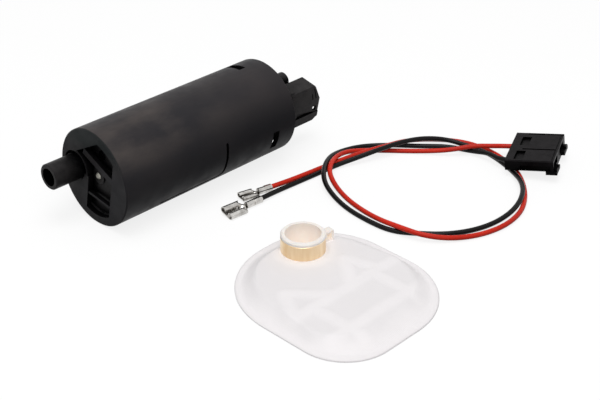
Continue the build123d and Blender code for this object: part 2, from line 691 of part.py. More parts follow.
def make_upper_fleece():
    rise = BAG_HEIGHT - BAG_RIM_THICK
    body = extrude(Pos(0, 0, BAG_RIM_THICK) * bag_outline(), BAG_RIM_THICK)
    body += bag_dome(BAG_RIM, BAG_RIM_THICK, rise)
    body -= bag_dome(BAG_RIM + FLEECE_THICK, BAG_RIM_THICK, rise - FLEECE_THICK)
    neck_hole = Pos(NECK_X - BAG_X, neck_y - BAG_Y, 0) * Cylinder(neck_r + FIT_GAP, 3 * BAG_HEIGHT)
    return Pos(BAG_X, BAG_Y, 0) * (body - neck_hole)


def bag_inside():
    """The room left for the moulded pieces inside the bag, a clearance off the fleece."""
    gap = FIT_GAP
    room = bag_dome(BAG_RIM + FLEECE_THICK + gap, BAG_RIM_THICK, BAG_HEIGHT - BAG_RIM_THICK - FLEECE_THICK - gap)
    return Pos(BAG_X, BAG_Y, 0) * room


neck_r = BAND_R - BAND_WALL - PRESS_GAP
neck_bore = neck_r - NECK_WALL
frame_base = BAG_RIM_THICK
frame_top = BAG_HEIGHT - FLEECE_THICK - FIT_GAP
flange_r = neck_r + 1.6


def grid_point(across, along):
    """A place in the strainer, as shares of its length and width from its middle."""
    return across * BAG_LEN, along * BAG_WIDTH


def make_frame():
    """The moulded grid that holds the two fleece layers apart, with the plate that carries the neck."""
    inset = BAG_RIM + FLEECE_THICK + 1.6 * (BAG_HEIGHT - BAG_RIM_THICK) + 1.0
    edge = bag_outline(inset)
    field = edge - offset(edge, -GRID_RIB * 1.4)
    for start, end in GRID_RIBS:
        a, b = Vector(*grid_point(*start)), Vector(*grid_point(*end))
        run = b - a
        middle = (a + b) / 2
        line = Pos(middle.X, middle.Y) * Rot(0, 0, degrees(atan2(run.Y, run.X))) * Rectangle(
            run.length + GRID_RIB, GRID_RIB)
        field += line & edge
    centre = Pos(NECK_X - BAG_X, neck_y - BAG_Y)
    plate = Polygon(*[grid_point(*corner) for corner in GRID_PLATE_CORNERS], align=None)
    plate += centre * Circle(flange_r + GRID_RIB)
    high = frame_top - frame_base
    body = extrude(field, high)
    body -= centre * Cylinder(flange_r, 3 * high)
    body += Pos(0, 0, high - GRID_PLATE) * extrude(plate & edge, GRID_PLATE)
    body -= centre * Cylinder(flange_r, 3 * high)
    return (Pos(BAG_X, BAG_Y, frame_base) * body) & bag_inside()


def make_neck():
    """The intake neck: its flange inside the bag, its tube and the small catch beside it."""
    rim = BAND_BASE_Z + BAND_HEIGHT + FIT_GAP
    top = rim + NECK_LIP
    base = Pos(NECK_X, neck_y, frame_base)
    flange = base * Cylinder(flange_r - FIT_GAP, frame_top - frame_base, align=UPRIGHT)
    lip = Pos(NECK_X, neck_y, rim) * Cylinder(BAND_R, NECK_LIP, align=UPRIGHT)
    body = (flange & bag_inside()) + base * Cylinder(neck_r, top - frame_base, align=UPRIGHT)
    body += chamfer(lip.edges().filter_by(GeomType.CIRCLE).sort_by(Axis.Z)[-1], 0.4)
    passage = base * Box(3 * flange_r, neck_r * 0.6, (frame_top - frame_base) * 0.6, align=UPRIGHT)
    for turn in (0, 60, 120):
        body -= Pos(NECK_X, neck_y, 0) * Rot(0, 0, turn) * Pos(-NECK_X, -neck_y, 0) * passage
    return body - base * Pos(0, 0, -CUT) * Cylinder(neck_bore, top + 3 * CUT, align=UPRIGHT)


def make_catch():
    """The catch that stands beside the neck on the fleece, open from side to side."""
    base = BAG_HEIGHT + PRESS_GAP
    post = Pos(0, 0, base) * Box(CATCH_REACH, CATCH_WIDTH, CATCH_HEIGHT, align=UPRIGHT)
    post -= Pos(0, 0, base + 1.0) * Box(CATCH_REACH - 2.4, CATCH_WIDTH + CUT, CATCH_HEIGHT - 2.0, align=UPRIGHT)
    return Pos(NECK_X, neck_y, 0) * Rot(0, 0, CATCH_ANGLE) * Pos(CATCH_OFFSET, 0, 0) * post


def make_band():
    band = Cylinder(BAND_R, BAND_HEIGHT, align=UPRIGHT)
    band = chamfer(band.edges().filter_by(GeomType.CIRCLE), 0.2)
    band -= Pos(0, 0, -CUT) * Cylinder(BAND_R - BAND_WALL, BAND_HEIGHT + 2 * CUT, align=UPRIGHT)
    return Pos(NECK_X, neck_y, BAND_BASE_Z) * band


# Routes of the two wires on the table, from the bare receptacles to the lead's connector
BLACK_ROUTE = [
    (55.5, -36.4, 1.9), (67.1, -37.0, 1.5), (81.2, -38.6, 1.3), (93.6, -39.6, 1.2), (104.9, -39.9, 1.5),
    (114.6, -43.4, 2.6), (125.7, -47.0, 3.9), (138.6, -50.4, 4.2), (148.4, -54.6, 3.7), (157.0, -60.3, 1.6),
    (160.5, -69.5, 1.2), (161.5, -80.0, 1.3), (158.7, -90.6, 1.2), (153.2, -100.9, 2.0),
    (147.0, -109.4, 3.1), (138.2, -116.7, 3.4), (127.3, -120.2, 1.7), (115.1, -119.7, 1.2),
    (103.1, -116.7, 1.2), (93.0, -110.5, 1.2), (85.4, -101.8, 1.2), (79.2, -92.9, 1.2),
    (78.5, -80.5, 1.3), (79.8, -68.1, 1.2), (82.7, -57.1, 1.9), (86.7, -47.8, 3.6),
    (94.7, -39.9, 4.2), (104.6, -34.0, 3.8), (115.3, -31.5, 1.8), (125.9, -34.1, 1.2),
    (135.7, -42.3, 1.2), (144.7, -53.4, 1.2), (153.4, -62.9, 1.4), (156.8, -74.3, 1.8),
    (157.5, -83.6, 4.1),
]
RED_ROUTE = [
    (66.4, -31.8, 1.9), (77.5, -33.6, 1.3), (88.5, -34.9, 1.2), (99.0, -36.8, 1.2), (109.0, -37.5, 1.4),
    (118.0, -40.3, 3.0), (127.8, -44.7, 4.0), (140.0, -47.6, 3.8), (150.9, -50.9, 1.7), (159.5, -57.5, 1.2),
    (163.1, -67.4, 1.2), (164.1, -78.6, 1.2), (161.6, -89.8, 1.2), (156.7, -100.6, 1.2),
    (148.9, -109.7, 1.2), (139.6, -117.5, 1.2), (128.4, -122.7, 1.2), (115.5, -123.9, 1.2),
    (103.0, -121.2, 1.2), (92.2, -115.1, 1.5), (83.7, -106.9, 3.0), (80.6, -95.8, 3.9),
    (81.3, -84.5, 2.3), (83.4, -72.9, 1.2), (85.9, -61.5, 1.3), (89.3, -51.4, 2.8),
    (94.8, -42.9, 4.1), (103.9, -37.2, 4.4), (113.6, -34.7, 3.0), (122.5, -36.7, 1.3),
    (130.9, -45.4, 1.2), (140.6, -56.3, 1.2), (148.6, -67.3, 2.7), (156.8, -74.7, 4.7),
    (162.8, -81.5, 4.9),
]


def bend_radii(points):
    """For each corner the radius that uses 0.45 of the shorter run beside it."""
    radii = []
    for before, at, after in zip(points, points[1:], points[2:]):
        run_in = Vector(*at) - Vector(*before)
        run_out = Vector(*after) - Vector(*at)
        half = radians(run_in.get_angle(run_out)) / 2
        radii.append(0.45 * min(run_in.length, run_out.length) / tan(half))
    return radii


def points_along(path, step=1.0):
    count = int(path.length / step)
    return [path @ (k / count) for k in range(count + 1)]


def least_gap(here, there, skip=0):
    """The least free distance between two wires, or along one wire beyond skip points."""
    least = 1000.0
    for i, a in enumerate(here):
        for b in there[i + skip:] if skip else there:
            least = min(least, (a - b).length)
    return least - 2 * WIRE_R


def wire_path(route, side):
    """A wire's centre line: its route on the table, then into its cell of the housing."""
    y = side * PLUG_PITCH / 2 + PLUG_SHIFT
    entry = [plug_place() * Pos(x, y, contact_z + crimp_r) for x in (-PLUG_LEN / 2 - 3.0, 4.5 - PLUG_LEN / 2)]
    points = route + [tuple(place.position) for place in entry]
    radii = bend_radii(points)
    print(f"least radius {min(radii):.1f}")
    return FilletPolyline(*points, radius=radii)


def make_wire(path, name):
    section = RegularPolygon(WIRE_R, 10)
    wire = sweep(Plane(origin=path @ 0, z_dir=path % 0) * section, path=path)
    share = wire.volume / (section.area * path.length)
    self_gap = least_gap(points_along(path), points_along(path), skip=20)
    print(f"{name}: length {path.length:.1f}, volume share {share:.4f}, gap to itself {self_gap:.2f}")
    return wire


def receptacle(length, width):
    """One crimped female receptacle, mouth at x = 0, wire leaving along +X, open side up."""
    sheet = SHEET_THICK
    curl = RECEPTACLE_HEIGHT / 2 * width / RECEPTACLE_WIDTH
    mouth_len = length * 0.46
    edge = width / 2 - curl
    body = Pos(mouth_len / 2, 0, sheet / 2) * Box(mouth_len, 2 * edge, sheet)
    for side in (-1, 1):
        centre = side * edge
        ring = disc(curl, 0, mouth_len, centre, curl) - disc(curl - sheet, -CUT, mouth_len + CUT, centre, curl)
        keep = bar(curl * 2, curl * 4, -CUT, mouth_len + CUT, centre + side * curl, curl)
        keep += bar(curl * 1.5, curl * 2, -CUT, mouth_len + CUT, centre - side * 0.2 * curl, curl * 2.1)
        body += ring & keep
    body -= side_cut([(length * 0.36, 2 * curl + CUT), (length * 0.36, 2 * curl), (mouth_len, curl * 1.5),
                      (mouth_len + CUT, curl * 1.5), (mouth_len + CUT, 2 * curl + CUT)], 0, 2 * width)
    hump = Pos(mouth_len, 0, curl * 0.45) * Sphere(curl * 1.2)
    body += hump & (Pos(mouth_len, 0, 0) * Box(length, width, width, align=UPRIGHT))
    body += Pos(length * 0.22, 0, 0) * Cylinder(curl * 0.4, sheet * 2.2, align=UPRIGHT)
    neck_w = 2 * crimp_r - 0.2
    neck_end = length * 0.56
    taper = Polygon((mouth_len - 0.5, -edge), (neck_end, -neck_w / 2), (neck_end, neck_w / 2),
                    (mouth_len - 0.5, edge), align=None)
    body += extrude(taper, sheet)
    body += Pos((neck_end + length) / 2, 0, sheet / 2) * Box(length - neck_end, neck_w / 2, sheet)
    grip_x = length * 0.78
    body += disc(crimp_r - 0.15, neck_end, grip_x, 0, crimp_r - 0.15)
    grip = tube(crimp_r, crimp_r - sheet, grip_x, length, 0, crimp_r)
    grip -= bar(0.4, 2 * crimp_r, grip_x - CUT, length + CUT, 0, 2 * crimp_r)
    return body + grip


def place_receptacle(route, roll, length, width):
    """Puts a receptacle so that its wire end meets the start of a route."""
    run = Vector(*route[1]) - Vector(*route[0])
    turn = degrees(atan2(run.Y, run.X))
    slope = degrees(atan2(run.Z, sqrt(run.X**2 + run.Y**2)))
    piece = Pos(-length * 0.8, 0, -crimp_r) * receptacle(length, width)
    return Pos(*route[0]) * Rot(0, 0, turn) * Rot(0, -slope, 0) * Rot(roll, 0, 0) * piece


def plug_place():
    lift = PLUG_BASE_Z + PLUG_HEIGHT / 2 + PLUG_LEN / 2 * sin(radians(PLUG_TILT))
    return Pos(PLUG_X, PLUG_Y, lift) * Rot(0, 0, PLUG_TURN) * Rot(0, -PLUG_TILT, 0)


def make_plug():
    """The flat two-way housing of the lead: wires enter at -X, it mates at +X."""
    half, top = PLUG_LEN / 2, PLUG_HEIGHT / 2
    body = Box(PLUG_LEN, PLUG_WIDTH, PLUG_HEIGHT)
    body = chamfer(body.edges().filter_by(Axis.X), 0.5)
    strip, window = PLUG_LEN * 0.17, PLUG_LEN * 0.19
    cell_h = PLUG_HEIGHT - PLUG_ROOF - PLUG_FLOOR
    for side, y in plug_rows:
        body -= Pos(0, y, (PLUG_FLOOR - PLUG_ROOF) / 2) * Box(PLUG_LEN + CUT, PLUG_CELL, cell_h)
        body -= Pos(-half + strip + window / 2, y, top) * Box(window, PLUG_CELL - 0.4, 1.5 * PLUG_ROOF)
    start, end = -half + strip + window * 0.5, half - PLUG_RIM
    far_y = (PLUG_WIDTH - PLUG_GROOVE) / 2 - 0.9
    for y in (PLUG_SHIFT - PLUG_GROOVE, far_y):
        body -= Pos((start + end) / 2, y, top) * Box(end - start, PLUG_GROOVE, PLUG_HEIGHT * 0.7)
    body -= Pos(half, 0, top) * Box(2 * PLUG_RIM, PLUG_WIDTH - 2.4, 0.5)
    body -= Pos(half * 0.25, -PLUG_WIDTH / 2, -top * 0.4) * Box(PLUG_LEN * 0.62, 1.4, top * 0.8)
    return plug_place() * body


def make_contacts():
    """The two receptacles inside the lead's housing, as a group of separate solids."""
    inner = []
    for side, y in plug_rows:
        place = Pos(PLUG_LEN / 2 - 1.2, y, contact_z)
        inner.append(place * Rot(0, 0, 180) * receptacle(RECEPTACLE_LEN, RECEPTACLE_WIDTH))
    return plug_place() * Compound(children=inner)


def make_plug_lock():
    """The locking bar clipped under the mating end, with an ear standing up at each side."""
    under = -PLUG_HEIGHT / 2 - PRESS_GAP
    front = PLUG_LEN / 2
    strip = Pos(front - 1.1, 0, under - LOCK_THICK / 2) * Box(5.0, PLUG_WIDTH - 1.0, LOCK_THICK)
    strip -= Pos(front + 1.4, 0, under - LOCK_THICK / 2) * Box(3.0, PLUG_PITCH - 2.0, 2 * LOCK_THICK)
    for side in (-1, 1):
        ear = Box(LOCK_EAR, LOCK_EAR_WIDTH, LOCK_EAR_HEIGHT, align=(Align.MIN, Align.CENTER, Align.MIN))
        strip += Pos(front + FIT_GAP, side * (PLUG_WIDTH / 2 - LOCK_EAR_WIDTH), under - LOCK_THICK) * ear
    return plug_place() * strip


def write(name, shape):
    shape = Compound(children=list(shape.solids())) if len(shape.solids()) > 1 else shape.solids()[0]
    export_step(shape, f"parts/{name}.step")


def pump_nodes():
    yield "outer_sleeve", make_sleeve()
    yield "isolator_ring", make_isolator()
    yield "motor_can", make_can()
    yield "intake_cover", make_cover()
    yield "intake_seal", make_seal(cover_front + COVER_THICK / 2)
    yield "thrust_pin", make_pin()
    yield "impeller", make_impeller()
    yield "pump_casing", make_casing()
    yield "front_bearing", make_bush(bush_x, BUSH_LEN)
    yield "rotor_shaft", make_shaft()
    yield "armature_core", make_core()
    yield "armature_windings", make_windings()
    yield "commutator_hub", make_commutator_hub()
    yield "commutator_bars", make_segments()
    yield "magnet_left", make_magnet(0)
    yield "magnet_right", make_magnet(180)
    yield "magnet_clip_top", make_clip(90)
    yield "magnet_clip_bottom", make_clip(270)
    yield "end_cover", make_end_cover()
    yield "end_seal", make_seal(end_front + END_COVER_THICK * 0.6)
    yield "rear_bearing", make_bush(end_front, BUSH_LEN)
    yield "terminal_blades", make_blades()
    for name, side in (("left", 1), ("right", -1)):
        yield f"brush_{name}", make_brush(side)
        yield f"brush_spring_{name}", make_brush_spring(side)
    yield "choke_upper", make_choke(1)
    yield "choke_lower", make_choke(-1)
    yield "check_valve_seat", make_check_seat()
    yield "check_valve", make_check_valve()
    yield "check_valve_spring", make_check_spring()
    yield "relief_ball", make_relief_ball()
    yield "relief_spring", make_relief_spring()
    yield "relief_plug", make_relief_plug()


def table_nodes():
    yield "strainer_fleece_upper", make_upper_fleece()
    yield "strainer_fleece_lower", make_lower_fleece()
    yield "strainer_grid", make_frame()
    yield "strainer_neck", make_neck()
    yield "strainer_catch", make_catch()
    yield "strainer_band", make_band()
    black, red = wire_path(BLACK_ROUTE, -1), wire_path(RED_ROUTE, 1)
    print(f"gap between the wires {least_gap(points_along(black), points_along(red)):.2f}")
    yield "wire_black", make_wire(black, "black wire")
    yield "wire_red", make_wire(red, "red wire")
    yield "receptacle_black", place_receptacle(BLACK_ROUTE, BLACK_ROLL, RECEPTACLE_LEN, RECEPTACLE_WIDTH)
    yield "receptacle_red", place_receptacle(RED_ROUTE, RED_ROLL, SMALL_RECEPTACLE_LEN, SMALL_RECEPTACLE_WIDTH)
    yield "lead_connector", make_plug()
    yield "lead_contacts", make_contacts()
    yield "lead_connector_lock", make_plug_lock()


for node, solid in pump_nodes():
    write(node, PUMP * solid)
for node, solid in table_nodes():
    write(node, TABLE * solid)
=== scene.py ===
"""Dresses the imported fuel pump: its strainer's fleece, its two wires, and the finish of every piece.

Metres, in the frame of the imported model: +X along the pump from its intake spigot to its electrical
connector, +Z up, and the table one sleeve radius below the origin.
"""

import json
from math import cos, pi, radians, sin

import bmesh
import bpy
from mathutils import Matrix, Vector


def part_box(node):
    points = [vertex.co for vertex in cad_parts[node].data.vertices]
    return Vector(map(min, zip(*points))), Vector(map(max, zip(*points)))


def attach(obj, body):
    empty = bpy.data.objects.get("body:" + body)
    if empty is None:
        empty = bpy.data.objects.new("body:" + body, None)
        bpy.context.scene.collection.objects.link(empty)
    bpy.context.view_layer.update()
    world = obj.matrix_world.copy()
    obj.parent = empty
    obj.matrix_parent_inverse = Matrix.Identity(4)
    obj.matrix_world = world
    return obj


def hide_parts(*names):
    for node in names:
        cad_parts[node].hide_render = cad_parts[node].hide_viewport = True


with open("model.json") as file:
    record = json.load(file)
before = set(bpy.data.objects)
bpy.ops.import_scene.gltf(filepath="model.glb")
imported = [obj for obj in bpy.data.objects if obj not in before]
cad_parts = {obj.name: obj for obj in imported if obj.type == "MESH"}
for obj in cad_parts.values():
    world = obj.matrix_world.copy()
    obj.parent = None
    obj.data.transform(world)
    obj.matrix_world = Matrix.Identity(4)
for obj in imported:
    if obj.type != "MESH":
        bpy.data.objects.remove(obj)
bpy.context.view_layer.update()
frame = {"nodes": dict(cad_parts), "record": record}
nodes = frame["nodes"]

MM = 0.001
SLEEVE_LEN = 95.9
TABLE_Z = -21.5
TABLE = TABLE_Z * MM

# Camera, measured from the two end circles and the straight sides of the sleeve
CAMERA_AT = (-0.3136, -0.3785, 0.2563)
CAMERA_HEADING = 45.58
CAMERA_DIP = 30.395
CAMERA_LENS = 76.6

# Wires, in millimetres but for their lengths in metres
WIRE_DIAMETER = 2.2

# The wires' routes over the table, from the receptacles to the inside of the lead's connector
BLACK_ROUTE = [
    (55.5, -36.4, 1.9), (67.1, -36.1, 1.5), (81.2, -36.8, 1.2), (93.6, -37.8, 1.2), (104.9, -38.9, 1.5),
    (114.6, -43.0, 3.2), (125.7, -47.0, 4.9), (138.6, -50.4, 5.3), (148.4, -54.6, 4.6), (157.0, -60.3, 2.6),
    (160.5, -69.5, 1.2), (161.5, -80.0, 1.3), (158.7, -90.6, 1.2), (153.2, -100.9, 2.2),
    (147.0, -109.4, 3.5), (138.2, -116.4, 3.6), (127.3, -119.9, 2.2), (115.1, -119.7, 1.2),
    (103.1, -116.7, 1.2), (93.0, -110.5, 1.2), (85.4, -101.8, 1.2), (79.2, -92.9, 1.2),
    (78.5, -80.5, 1.3), (79.8, -68.1, 1.2), (82.7, -57.1, 1.9), (86.7, -47.8, 3.6),
    (94.7, -39.9, 4.2), (104.6, -34.0, 3.8), (115.3, -31.5, 1.8), (125.9, -34.1, 1.2),
    (135.7, -42.3, 1.2), (144.7, -53.4, 1.2), (153.4, -62.9, 1.4), (156.8, -74.3, 1.8),
    (157.5, -83.6, 4.1), (155.15, -91.72, 4.54), (158.23, -98.48, 5.58),
]
RED_ROUTE = [
    (66.4, -31.8, 1.9), (77.5, -33.5, 1.6), (88.5, -34.9, 1.6), (99.0, -36.0, 1.6), (109.0, -37.4, 1.7),
    (118.0, -40.6, 3.0), (127.8, -45.0, 4.0), (140.0, -48.0, 3.8), (150.9, -51.6, 1.9), (158.6, -58.5, 1.2),
    (163.1, -67.4, 1.2), (164.1, -78.6, 1.2), (161.6, -89.8, 1.2), (156.5, -100.5, 1.2),
    (148.7, -109.4, 1.2), (139.4, -116.9, 1.2), (128.3, -122.4, 1.2), (115.5, -123.9, 1.2),
    (103.0, -121.2, 1.2), (92.2, -115.1, 1.5), (83.7, -106.9, 3.0), (80.6, -95.8, 3.9),
    (81.3, -84.5, 2.3), (83.4, -72.9, 1.2), (85.9, -61.5, 1.3), (89.3, -51.4, 2.8),
    (94.8, -42.9, 4.1), (103.9, -37.2, 4.4), (113.6, -34.7, 3.0), (122.5, -36.7, 1.3),
    (130.9, -45.4, 1.2), (140.6, -56.3, 1.2), (148.6, -67.3, 2.7), (156.8, -74.7, 4.7),
    (162.8, -81.5, 4.9), (167.89, -85.91, 4.54), (170.97, -92.67, 5.58),
]

# Strainer, in millimetres. The corners' radii go anticlockwise from the one nearest -X and -Y, the band's
# wall includes its gap to the neck, and a small cap closes the lower layer's middle.
BAG_CORNERS = (21.0, 33.0, 30.0, 38.0)
CORNER_STEPS = 40
BAG_HEIGHT = 4.8
BAND_WALL = 0.57
WELD_WIDTH = 2.6
WELD_TOP = 0.78
RISE_WIDTH = 8.5
EDGE_DROP = 0.3
EDGE_WIDTH = 0.9
FLEECE_THICK = 0.35
CELL_SAG = 0.28
UNDERSIDE = 0.05
CAP_RADIUS = 0.3

# Where the stiff parts under the upper fleece hold it up: a rib's half width, the ring under the neck,
# and how far the fleece takes to sag beside each
RIB_HALF = 0.8
RIB_FADE = 3.6
NECK_RING = 9.5
NECK_FADE = 5.0

# The fleece's paleness, from 0 over an open cell
# Over a rib the paleness is partly the frame showing through and partly painted shade in the open cells
# beside it
RIB_PALER = 0.33
WELD_PALER = 0.30
# Painted light: the slopes made paler to cancel their shade
SLOPE_PAINTED_LIGHT = 0.45

# The fleece's mesh: points round its rim, and rings from its middle to its rim
SPOKES = 300
RINGS = 96

# The inner frame's ribs, from the sleeve's front rim
FRAME_RIBS = (
    ((14.6, -143.0), (14.6, -110.8)), ((47.6, -138.0), (47.6, -110.8)), ((2.0, -110.8), (61.0, -110.8)),
    ((1.0, -129.2), (58.0, -129.2)), ((4.5, -110.8), (13.2, -97.0)), ((13.2, -97.0), (27.0, -110.8)),
    ((36.0, -110.8), (47.0, -97.0)), ((47.0, -97.0), (52.0, -110.8)),
)

# Light and floor
WORLD_STRENGTH = 0.46
FLOOR_COLOUR = 0.18
FLOOR_GLOW = 0.82
FLOOR_HALF = 3.0
LAMP_SIZE = 0.6
LAMPS_AIM = (0.02, -0.03, 0)


def table_point(x, y, z):
    """A point drawn in millimetres from the sleeve's front rim and above the table."""
    return Vector(((x - SLEEVE_LEN / 2) * MM, y * MM, (z + TABLE_Z) * MM))


# Camera
camera_data = bpy.data.cameras.new("camera")
camera_data.lens = CAMERA_LENS
camera = bpy.data.objects.new("camera", camera_data)
camera.location = CAMERA_AT
camera.rotation_euler = (radians(90 - CAMERA_DIP), 0, radians(-CAMERA_HEADING))
bpy.context.scene.collection.objects.link(camera)
bpy.context.scene.camera = camera


# Wires
def wire(name, route):
    """An insulated wire along a route, as one smooth spline. Its thickness is in its points' radius."""
    data = bpy.data.curves.new(name, "CURVE")
    data.dimensions = "3D"
    data.bevel_depth = 1.0
    data.bevel_resolution = 5
    data.use_fill_caps = True
    spline = data.splines.new("NURBS")
    spline.points.add(len(route) - 1)
    for point, place in zip(spline.points, route):
        point.co = (*table_point(*place), 1)
        point.radius = WIRE_DIAMETER / 2 * MM
    spline.order_u = 3
    spline.use_endpoint_u = True
    spline.resolution_u = 12
    piece = bpy.data.objects.new(name, data)
    bpy.context.scene.collection.objects.link(piece)
    return piece


black = wire("black_wire", BLACK_ROUTE)
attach(black, "pump")
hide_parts("wire_black")
red = wire("red_wire", RED_ROUTE)
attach(red, "pump")
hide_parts("wire_red")


# Materials. In the node helpers, a value or colour may be another node's output or a fixed one.
def material(name, colour, rough, metal=0.0, gloss=0.5):
    """A Principled material, its node tree and its shader."""
    mat = bpy.data.materials.new(name)
    mat.use_nodes = True
    tree = mat.node_tree
    shader = tree.nodes["Principled BSDF"]
    shader.inputs["Base Color"].default_value = (*colour, 1)
    shader.inputs["Roughness"].default_value = rough
    shader.inputs["Metallic"].default_value = metal
    shader.inputs["Specular IOR Level"].default_value = gloss
    return mat, tree, shader


def object_coordinates(tree):
    return tree.nodes.new("ShaderNodeTexCoord").outputs["Object"]


def noise(tree, scale, detail=4.0, stretch=(1, 1, 1)):
    """Noise in object coordinates, with about scale bumps to the metre."""
    mapping = tree.nodes.new("ShaderNodeMapping")
    mapping.inputs["Scale"].default_value = stretch
    texture = tree.nodes.new("ShaderNodeTexNoise")
    texture.inputs["Scale"].default_value = scale
    texture.inputs["Detail"].default_value = detail
    tree.links.new(object_coordinates(tree), mapping.inputs["Vector"])
    tree.links.new(mapping.outputs["Vector"], texture.inputs["Vector"])
    return texture.outputs["Fac"]


def spread(tree, value, low, high, start=0.35, end=0.65):
    """The value mapped from start..end, by default the middle of noise's range, to low..high."""
    node = tree.nodes.new("ShaderNodeMapRange")
    node.inputs["From Min"].default_value = start
    node.inputs["From Max"].default_value = end
    node.inputs["To Min"].default_value = low
    node.inputs["To Max"].default_value = high
    tree.links.new(value, node.inputs["Value"])
    return node.outputs["Result"]


def combine(tree, operation, first, second):
    """One maths node on an output and a second output or number."""
    node = tree.nodes.new("ShaderNodeMath")
    node.operation = operation
    tree.links.new(first, node.inputs[0])
    if isinstance(second, float):
        node.inputs[1].default_value = second
    else:
        tree.links.new(second, node.inputs[1])
    return node.outputs["Value"]


def blend(tree, factor, first, second):
    """The first colour turning to the second as the factor rises."""
    node = tree.nodes.new("ShaderNodeMix")
    node.data_type = "RGBA"
    for name, colour in (("A", first), ("B", second)):
        if isinstance(colour, tuple):
            node.inputs[name].default_value = (*colour, 1)
        else:
            tree.links.new(colour, node.inputs[name])
    tree.links.new(factor, node.inputs["Factor"])
    return node.outputs["Result"]


def bump(tree, shader, height, strength, distance):
    node = tree.nodes.new("ShaderNodeBump")
    node.inputs["Strength"].default_value = strength
    node.inputs["Distance"].default_value = distance
    tree.links.new(height, node.inputs["Height"])
    tree.links.new(node.outputs["Normal"], shader.inputs["Normal"])


def open_share(tree, reach=0.014):
    """The share of the sky that nothing covers within reach."""
    node = tree.nodes.new("ShaderNodeAmbientOcclusion")
    node.samples = 8
    node.inputs["Distance"].default_value = reach
    return node.outputs["AO"]


def shade_hollows(tree, colour, deepest, closed, open_air):
    """The colour, sinking to the deepest one in hollows, where the open share of the sky nears closed."""
    return blend(tree, spread(tree, open_share(tree), 0, 1, closed, open_air), deepest, colour)


def painted_glow_in_hollows(tree, shader, colour, strength, closed, open_air, reach=0.014):
    """A painted glow: faint light emitted where the piece hides itself from the sky, in place of what comes
    through its thin wall.
    """
    shader.inputs["Emission Color"].default_value = (*colour, 1)
    tree.links.new(spread(tree, open_share(tree, reach), strength, 0, closed, open_air),
                   shader.inputs["Emission Strength"])


def plain(name, dark, light, rough, metal=0.0, scale=300.0, grain=1500.0, depth=0.00003,
          stretch=(1, 1, 1), gloss=0.5, hollows=None):
    """A moulded or machined finish: a colour that wanders a little, uneven gloss and a fine grain. Given
    hollows, the colour darkens to it in the hollows as painted shade.
    """
    mat, tree, shader = material(name, light, rough, metal, gloss)
    colour = blend(tree, spread(tree, noise(tree, scale, stretch=stretch), 0, 1), dark, light)
    # Painted shade: darker in the hollows
    if hollows:
        colour = shade_hollows(tree, colour, hollows, 0.66, 0.96)
    tree.links.new(colour, shader.inputs["Base Color"])
    uneven = noise(tree, scale * 2.3, stretch=stretch)
    tree.links.new(spread(tree, uneven, rough * 0.85, rough * 1.2), shader.inputs["Roughness"])
    bump(tree, shader, noise(tree, grain, 2.0, stretch), 0.4, depth)
    return mat


def sleeve_plastic():
    """Glass-filled black plastic, cloudy in tone, with a painted highlight on the upper front and painted
    shade towards the rear, on the lower side, on the face and in the hollows.
    """
    mat, tree, shader = material("sleeve_plastic", (0.036, 0.031, 0.032), 0.45, gloss=0.06)
    split = tree.nodes.new("ShaderNodeSeparateXYZ")
    tree.links.new(object_coordinates(tree), split.inputs["Vector"])
    front = -SLEEVE_LEN / 2
    shadow = (0.0065, 0.0068, 0.0085)

    def along(low, high, start, end):
        return spread(tree, split.outputs["X"], low, high, start * MM, end * MM)

    def up(low, high, start, end):
        return spread(tree, split.outputs["Z"], low, high, start * MM, end * MM)

    clouds = spread(tree, noise(tree, 42, 5.0, (0.6, 1, 1)), 0, 1, 0.38, 0.66)
    colour = blend(tree, clouds, (0.024, 0.0228, 0.0255), (0.038, 0.0335, 0.0345))
    # Painted highlight: a mottled lighter patch on the upper front of the sleeve
    highlight_mottle = spread(tree, noise(tree, 75, 6.0, (0.5, 1, 1)), 0, 1, 0.40, 0.70)
    painted_highlight_area = combine(tree, "MULTIPLY", along(1, 0, -30, 25), up(0, 1, 6, 15))
    colour = blend(tree, combine(tree, "MULTIPLY", highlight_mottle, painted_highlight_area), colour, (0.070, 0.060, 0.056))
    # Painted shade: darker towards the rear end and the lower side
    painted_rear_shade = combine(tree, "MULTIPLY", along(0, 0.85, -38, 22), up(1, 0, 1, 18))
    colour = blend(tree, painted_rear_shade, colour, shadow)
    # Painted shade: darker towards the bottom of the sleeve
    painted_low_shade = up(0.75, 0, -6, 14)
    colour = blend(tree, painted_low_shade, colour, shadow)
    # Painted shade: the face's upper part darker, with a teal-grey cast
    painted_face_shade = combine(tree, "MULTIPLY", along(1, 0, front + 0.2, front + 0.5), up(0, 1, 7, 15))
    colour = blend(tree, painted_face_shade, colour, (0.0165, 0.0195, 0.020))
    # Painted shade: the colour sinks to near black in the hollows and inside the window
    colour = shade_hollows(tree, colour, (0.0015, 0.0014, 0.0016), 0.48, 0.90)
    tree.links.new(colour, shader.inputs["Base Color"])
    tree.links.new(spread(tree, noise(tree, 160, 3.0), 0.38, 0.52), shader.inputs["Roughness"])
    bump(tree, shader, noise(tree, 1400, 2.0), 0.35, 0.00003)
    return mat


def nylon():
    """Unfilled moulded nylon: milky, with a painted warm glow inside in place of the light that comes through
    its wall.
    """
    mat, tree, shader = material("nylon", (0.83, 0.795, 0.76), 0.4)
    colour = blend(tree, spread(tree, noise(tree, 250), 0, 1), (0.80, 0.752, 0.71), (0.83, 0.795, 0.76))
    tree.links.new(colour, shader.inputs["Base Color"])
    shader.inputs["Subsurface Weight"].default_value = 0.25
    shader.inputs["Subsurface Radius"].default_value = (0.0018, 0.0014, 0.0010)
    shader.inputs["Subsurface Scale"].default_value = 1.0
    # Painted glow: warm light emitted in the nylon's hollows
    painted_glow_in_hollows(tree, shader, (1.0, 0.80, 0.63), 0.22, 0.35, 0.85)
    bump(tree, shader, noise(tree, 900, 2.0), 0.3, 0.00003)
    return mat


